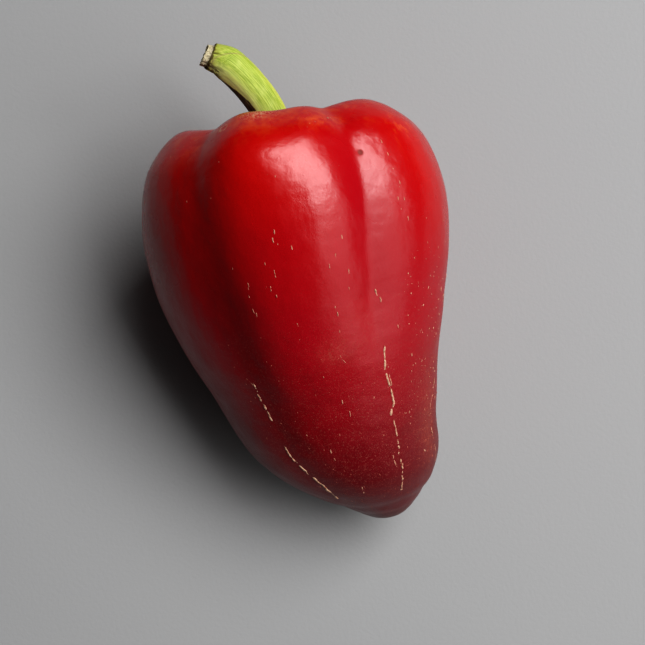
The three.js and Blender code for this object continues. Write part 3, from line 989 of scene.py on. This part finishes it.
class PepperSizes(bpy.types.PropertyGroup):
    tilt: FloatProperty(name="Tilt", description="How far the long axis rises towards the stem",
                        default=radians(13.6), subtype="ANGLE")
    lean: share_property("Shoulder lean", "Shear that stands the shoulders upright", 0.265)
    furrows: share_property("Furrows", "Depth of the furrows, 1 as grown", 1, high=1.5)
    tip_offset: length_property("Tip offset", "How far the blossom end sits to one side", 7)
    bow: length_property("Bow", "How far the middle bows to the other side", 0.8)
    unevenness: length_property("Unevenness", "Swells and dips of the skin", 0.3)
    calyx_reach: length_property("Calyx reach", "From the stem to the calyx's bays", 12.6)
    calyx_teeth: count_property("Calyx teeth", "Points of the calyx", 5)
    stem_ribs: count_property("Stem ribs", "Ribs along the stem", 5)
    rib_depth: share_property("Rib depth", "Share of the stem's radius", 0.024, high=0.1)
    core_length: length_property("Core length", "How far the dry core stands out of the stem", 2.2)
    cork_width: share_property("Crack width", "Width of the corky cracks, 1 as grown", 1, 0.2, 3)
    speck_density: share_property("Specks", "Most specks on a square millimetre", 0.22)
    speck_size: length_property("Speck size", "Half the width of an ordinary speck", 0.085)
    scar_reach: length_property("Scar reach", "Radius of the scar at the blossom end", 2.6)
    place: FloatVectorProperty(name="Place", description="Where the fruit's own origin lies",
                               default=(0, 0, 0), subtype="TRANSLATION")


# ---- Fruit, calyx and stem as operators ----

def box_of(piece):
    corners = np.array([vertex.co for vertex in piece.data.vertices])
    return Vector(corners.min(axis=0)), Vector(corners.max(axis=0))


class PEPPER_OT_fruit(bpy.types.Operator):
    """Make the fruit and lay it on its side"""
    bl_idname = "pepper.fruit"
    bl_label = "Fruit"

    def execute(self, context):
        sizes, colours = context.scene.pepper_sizes, context.scene.pepper_colours
        skin, _ = skin_groups(sizes)
        fruit = grown(host_curve("fruit_outline", OUTLINE), fruit_tree(skin), "fruit_skin",
                      Material=skin_material(colours))
        lay_down(fruit, sizes)
        low, high = box_of(fruit)
        solid_low, solid_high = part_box("fruit")
        sideways = (solid_low.x + solid_high.x - low.x - high.x) / 2
        sizes.place = Vector((sideways, solid_low.y - low.y, solid_low.z - low.z))
        fruit.data.transform(Matrix.Translation(sizes.place))
        settle(fruit, "pepper_skin", "fruit")
        return {"FINISHED"}


class PEPPER_OT_calyx(bpy.types.Operator):
    """Make the calyx in the hollow"""
    bl_idname = "pepper.calyx"
    bl_label = "Calyx"

    def execute(self, context):
        sizes, colours = context.scene.pepper_sizes, context.scene.pepper_colours
        _, standing = skin_groups(sizes)
        calyx = grown(host_curve("calyx_outline", OUTLINE), calyx_tree(standing), "calyx_star",
                      Reach=sizes.calyx_reach / MM, Teeth=sizes.calyx_teeth,
                      Material=calyx_material(colours))
        lay_down(calyx, sizes)
        settle(calyx, "calyx_green", "calyx")
        return {"FINISHED"}


class PEPPER_OT_stem(bpy.types.Operator):
    """Make the stem and its dry core"""
    bl_idname = "pepper.stem"
    bl_label = "Stem"

    def execute(self, context):
        sizes, colours = context.scene.pepper_sizes, context.scene.pepper_colours
        _, standing = skin_groups(sizes)
        stalk = grown(host_curve("stalk_line", OUTLINE, STEM_LINE), stalk_tree(standing), "stem_stalk",
                      Ribs=sizes.stem_ribs, Rib_Depth=sizes.rib_depth, Material=stem_material(colours))
        core = grown(host_curve("core_line", OUTLINE, STEM_LINE), core_tree(standing), "stem_core",
                     Length=sizes.core_length / MM, Material=core_material(colours))
        for piece in (stalk, core):
            lay_down(piece, sizes)
            settle(piece, "stem_green", "stem")
        return {"FINISHED"}


# ---- Marks as an operator ----

# Corky cracks: width in millimetres, then the places where each bends, as an angle and a share of the
# outline's length in hundredths.
CRACKS = [
    (0.6, [(-35, 40), (-34, 36), (-33, 33)]),
    (0.6, [(-32, 29), (-32, 27), (-29, 23), (-27, 19), (-29, 15)]),
    (0.3, [(-37, 41), (-34, 39)]),
    (0.3, [(-29, 12), (-34, 10)]),
    (0.65, [(27, 42), (26, 38), (28, 35), (29, 32), (27, 30)]),
    (0.45, [(28, 29), (30, 25), (29, 21), (26, 18), (22, 14)]),
    (0.25, [(27, 39), (29, 35)]),
    (0.35, [(25, 23), (25, 20)]),
    (0.45, [(-3, 18), (-5, 16)]),
    (0.4, [(26, 50), (27, 48)]),
    (0.2, [(6, 43), (9, 41)]),
    (0.4, [(49, 21), (51, 20)]),
    (0.3, [(65, 32), (60, 28), (60, 25)]),
    (0.3, [(61, 24), (67, 16)]),
    (0.35, [(-8, 27), (-8, 26)]),
    (0.3, [(6, 33), (6, 32)]),
]
CRACK_UNEVENNESS = (0.7, 1.15)  # least and most of its width that a piece has
CRACK_PIECES = (0.8, 3.6)  # lengths in hundredths
CRACK_GAPS = (-0.3, 0.35)  # in hundredths, where two pieces overlap below 0
CRACK_STEP = 0.6  # how far a piece lies to one side, in degrees
CRACK_POINTS = 16
# Rows of short dashes: where each row starts and ends, as above, and how many dashes it has.
DASH_ROWS = [
    ((-9, 59), (-9, 57), 4), ((-6, 59), (-4, 57), 2), ((-14, 56), (-11, 54), 4),
    ((-27, 56), (-27, 55), 2), ((-22, 54), (-22, 50), 7), ((-14, 53), (-13, 52), 2),
    ((-7, 66), (-3, 65), 3), ((14, 58), (14, 57), 2), ((10, 55), (6, 53), 3),
    ((14, 53), (14, 51), 2), ((8, 49), (8, 46), 4), ((-8, 48), (-8, 46), 2),
    ((39, 68), (41, 60), 5), ((39, 60), (42, 56), 4), ((-22, 40), (-2, 40), 3),
    ((42, 39), (49, 37), 2), ((4, 35), (19, 34), 2), ((12, 73), (33, 76), 9),
    ((-17, 30), (-8, 25), 2), ((-16, 73), (3, 73), 2),
]
DASH_LENGTHS = (0.4, 1.2)  # in millimetres, as the widths
DASH_WIDTHS = (0.14, 0.28)
DASH_ENDS = (0.5, 0.25, 0, -0.25, -0.5)  # points of a dash, as shares of its length
STRAY_TURN = 0.8  # how far a dash lies off its place, in degrees
STRAY_SHARE = 0.2  # and in hundredths
MARKS_SEED = 8


def cracked(width, route, draw):
    """The crack as pieces with gaps between them, each a little to one side and of its own width."""
    places, whole = np.array(route, float), np.arange(len(route))
    run = np.concatenate(([0], np.cumsum(np.abs(np.diff(places[:, 1])))))
    pieces, start = [], 0
    while start < run[-1]:
        end = min(start + draw.uniform(*CRACK_PIECES), run[-1])
        shift = draw.uniform(-CRACK_STEP, CRACK_STEP)
        wide = width * draw.uniform(*CRACK_UNEVENNESS)
        steps = np.interp(np.linspace(start, end, CRACK_POINTS), run, whole)
        turns, shares = (np.interp(steps, whole, column).tolist() for column in places.T)
        pieces.append([(turn + shift, share, wide) for turn, share in zip(turns, shares)])
        start = end + draw.uniform(*CRACK_GAPS)
    return pieces


def strewn(first, last, count, draw):
    """Short dashes along a row, each a little off its place."""
    dashes = []
    for step in np.linspace(0, 1, count).tolist():
        turn, share = (start + (end - start) * step for start, end in zip(first, last))
        turn = turn + draw.uniform(-STRAY_TURN, STRAY_TURN)
        share = share + draw.uniform(-STRAY_SHARE, STRAY_SHARE)
        length = draw.uniform(*DASH_LENGTHS) / SKIN_LENGTH * 100
        width = draw.uniform(*DASH_WIDTHS)
        dashes.append([(turn, share + length * end, width) for end in DASH_ENDS])
    return dashes


def corky_lines():
    """Every crack and dash, as lines of places with a width."""
    draw = np.random.default_rng(MARKS_SEED)
    lines = [piece for crack in CRACKS for piece in cracked(*crack, draw)]
    return lines + [dash for row in DASH_ROWS for dash in strewn(*row, draw)]


def speck_host():
    """Copy of the fruit's skin in millimetres, still as it lies, for the specks to grow on."""
    host = bpy.data.objects.new("speck_host", bpy.data.objects["fruit_skin"].data.copy())
    bpy.context.scene.collection.objects.link(host)
    host.data.transform(Matrix.Scale(1 / MM, 4))
    return host


class PEPPER_OT_marks(bpy.types.Operator):
    """Make the corky cracks, the specks and the blossom scar"""
    bl_idname = "pepper.marks"
    bl_label = "Skin marks"

    def execute(self, context):
        sizes, colours = context.scene.pepper_sizes, context.scene.pepper_colours
        _, standing = skin_groups(sizes)
        cork = cork_material(colours)
        streaks = grown(host_curve("streak_lines", OUTLINE, *corky_lines()), cork_tree(standing),
                        "cork_streaks", Width=sizes.cork_width, Material=cork)
        lay_down(streaks, sizes)
        settle(streaks, "pepper_skin")
        specks = grown(speck_host(), specks_tree(sizes.tilt), "skin_specks",
                       Density=sizes.speck_density, Size=sizes.speck_size / MM, Material=cork)
        specks.data.transform(Matrix.Scale(MM, 4))
        settle(specks, "pepper_skin")
        scar = grown(host_curve("scar_outline", OUTLINE), blossom_tree(standing), "blossom_scar",
                     Reach=sizes.scar_reach / MM, Material=scar_material(colours))
        lay_down(scar, sizes)
        settle(scar, "pepper_skin")
        return {"FINISHED"}


# ---- Stage ----

FLOOR_REACH = 3  # half its width, in metres
LIGHT_AIM = Vector((0, 0, 0.04))  # about the middle of the fruit
SKY_STRENGTH = 0.04
VIEW_TURN = 12  # how far the view is turned about the upright, in degrees
CAMERA_PLACE = (0.00163, -0.0091, 0.330)
CAMERA_LENS = 66.95  # in millimetres, as the sensor's width
SENSOR_WIDTH = 36
# Windows that light the fruit: where each stands, its level edge, its size in metres and its power in
# watts. Directions are across, up and towards the camera.
WINDOWS = [
    ("key_window", (0.455, 0.3, 0.83), (0.866, 0.5, 0), (0.56, 0.82), 8.8),
    ("sheer_curtain", (0.52, 0.22, 0.83), (0.866, 0.5, 0), (0.72, 1.05), 2.8),
    ("low_window", (0.75, -0.34, 0.57), (0.7, 0.24, -0.64), (0.74, 0.66), 1.8),
]


def in_view(direction):
    """A direction given as across, up and towards the camera, in the row's frame."""
    across, up, towards = direction
    turn = radians(VIEW_TURN)
    return Vector((across * cos(turn) + up * sin(turn), -across * sin(turn) + up * cos(turn), towards))


class PEPPER_OT_stage(bpy.types.Operator):
    """Make the floor, the lamps and the camera"""
    bl_idname = "pepper.stage"
    bl_label = "Stage"

    def execute(self, context):
        add_floor(context.scene)
        add_light(context.scene)
        add_camera(context.scene)
        return {"FINISHED"}


def add_floor(scene):
    mesh = bpy.data.meshes.new("stage_floor")
    corners = [(FLOOR_REACH * x, FLOOR_REACH * y, 0) for x, y in ((-1, -1), (1, -1), (1, 1), (-1, 1))]
    mesh.from_pydata(corners, [], [(0, 1, 2, 3)])
    floor = bpy.data.objects.new("stage_floor", mesh)
    floor.data.materials.append(floor_material())
    scene.collection.objects.link(floor)


def add_light(scene):
    world = bpy.data.worlds.new("Studio")
    world.use_nodes = True
    sky = world.node_tree.nodes["Background"]
    sky.inputs["Color"].default_value = (1, 1, 1, 1)
    sky.inputs["Strength"].default_value = SKY_STRENGTH
    scene.world = world
    scene.view_settings.view_transform = "Standard"
    scene.view_settings.look = "High Contrast"
    for name, direction, level, size, power in WINDOWS:
        lamp = bpy.data.lights.new(name, "AREA")
        lamp.shape = "RECTANGLE"
        lamp.size, lamp.size_y = size
        lamp.energy = power
        window = bpy.data.objects.new(name, lamp)
        towards = in_view(direction)
        back = towards.normalized()
        up = back.cross(in_view(level)).normalized()
        turned = Matrix((up.cross(back), up, back)).transposed()
        window.matrix_world = Matrix.Translation(LIGHT_AIM + towards) @ turned.to_4x4()
        scene.collection.objects.link(window)


def add_camera(scene):
    camera = bpy.data.objects.new("camera", bpy.data.cameras.new("camera"))
    camera.data.sensor_width = SENSOR_WIDTH
    camera.data.lens = CAMERA_LENS
    camera.data.clip_start = 0.01
    turned = Matrix((in_view((1, 0, 0)), in_view((0, 1, 0)), in_view((0, 0, 1)))).transposed()
    camera.matrix_world = Matrix.Translation(CAMERA_PLACE) @ turned.to_4x4()
    scene.collection.objects.link(camera)
    scene.camera = camera


# ---- Panel and registration ----

class PEPPER_PT_panel(bpy.types.Panel):
    bl_label = "Sweet Pepper"
    bl_idname = "PEPPER_PT_panel"
    bl_space_type = "VIEW_3D"
    bl_region_type = "UI"
    bl_category = "Pepper"

    def draw(self, context):
        for operator in OPERATORS:
            self.layout.operator(operator.bl_idname)
        for group in (context.scene.pepper_sizes, context.scene.pepper_colours):
            box = self.layout.box()
            for name in type(group).__annotations__:
                box.prop(group, name)


OPERATORS = (PEPPER_OT_fruit, PEPPER_OT_calyx, PEPPER_OT_stem, PEPPER_OT_marks, PEPPER_OT_stage)
CLASSES = (PepperSizes, PepperColours, *OPERATORS, PEPPER_PT_panel)


def register():
    for kind in CLASSES:
        bpy.utils.register_class(kind)
    bpy.types.Scene.pepper_sizes = PointerProperty(type=PepperSizes)
    bpy.types.Scene.pepper_colours = PointerProperty(type=PepperColours)


def unregister():
    del bpy.types.Scene.pepper_sizes
    del bpy.types.Scene.pepper_colours
    for kind in reversed(CLASSES):
        bpy.utils.unregister_class(kind)


def main():
    register()
    bpy.ops.pepper.fruit()
    bpy.ops.pepper.calyx()
    bpy.ops.pepper.stem()
    bpy.ops.pepper.marks()
    bpy.ops.pepper.stage()


if __name__ == "__main__":
    main()
